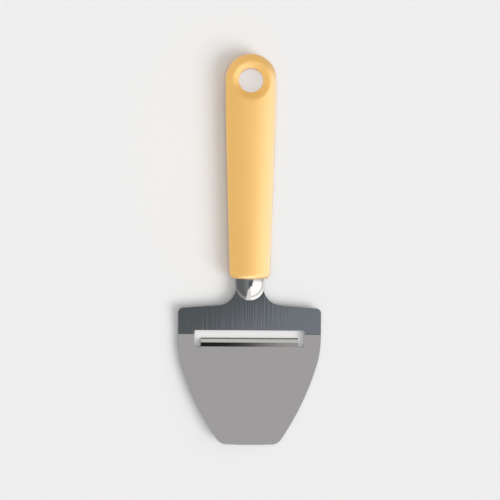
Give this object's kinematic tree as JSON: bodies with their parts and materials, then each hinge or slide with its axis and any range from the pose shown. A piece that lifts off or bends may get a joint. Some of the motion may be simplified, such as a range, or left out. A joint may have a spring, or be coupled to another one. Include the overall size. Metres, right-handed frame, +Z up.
{
  "type": "cheese slicer",
  "caption": "Hand cheese slicer: wide stamped steel blade with a slot and a bent cutting tongue, a bead-stiffened neck, and a tapered oval moulded handle with a flared hang hole.",
  "frame": {"origin": "on the surface that the slicer lies on, under the middle of its outline", "axes": "+X across the blade to its right side, +Y along the slicer from its tip to its hang hole, +Z up, with the blade's upper side up"},
  "size_m": [0.0878, 0.24, 0.017],
  "materials": {
    "stainless_sheet": "brushed lengthwise",
    "core_plastic": "plain as moulded",
    "handle_plastic": "fine satin"
  },
  "bodies": {
    "root": {"blade": "stainless_sheet", "handle_core": "core_plastic", "handle_shell": "handle_plastic"}
  },
  "joints": []
}
